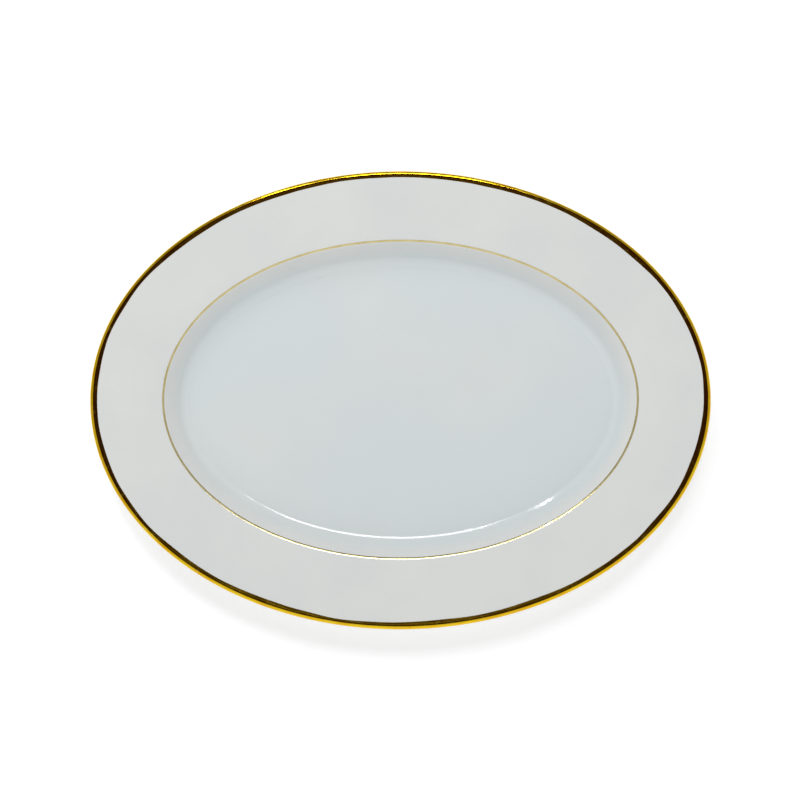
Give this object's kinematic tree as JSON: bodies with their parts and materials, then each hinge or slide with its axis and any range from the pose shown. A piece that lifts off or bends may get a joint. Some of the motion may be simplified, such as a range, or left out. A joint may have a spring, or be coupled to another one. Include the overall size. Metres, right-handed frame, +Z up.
{
  "type": "oval serving platter",
  "caption": "Wide-rimmed oval porcelain platter with a shallow coved well, a foot ring underneath, a gilded lip and a fine gold line round the well.",
  "frame": {"origin": "centre of the foot ring's standing plane", "axes": "+X along the platter's long axis, +Y along its short axis, +Z up out of the well"},
  "size_m": [0.35, 0.2598, 0.026],
  "materials": {
    "porcelain": "unglazed fired porcelain, matt",
    "glaze": "clear gloss glaze over white porcelain",
    "gilding": "bright fired gold"
  },
  "bodies": {
    "root": {"porcelain_body": "porcelain", "glaze_coat": "glaze", "base_glaze": "glaze", "rim_gold_band": "gilding", "verge_gold_line": "gilding"}
  },
  "joints": []
}
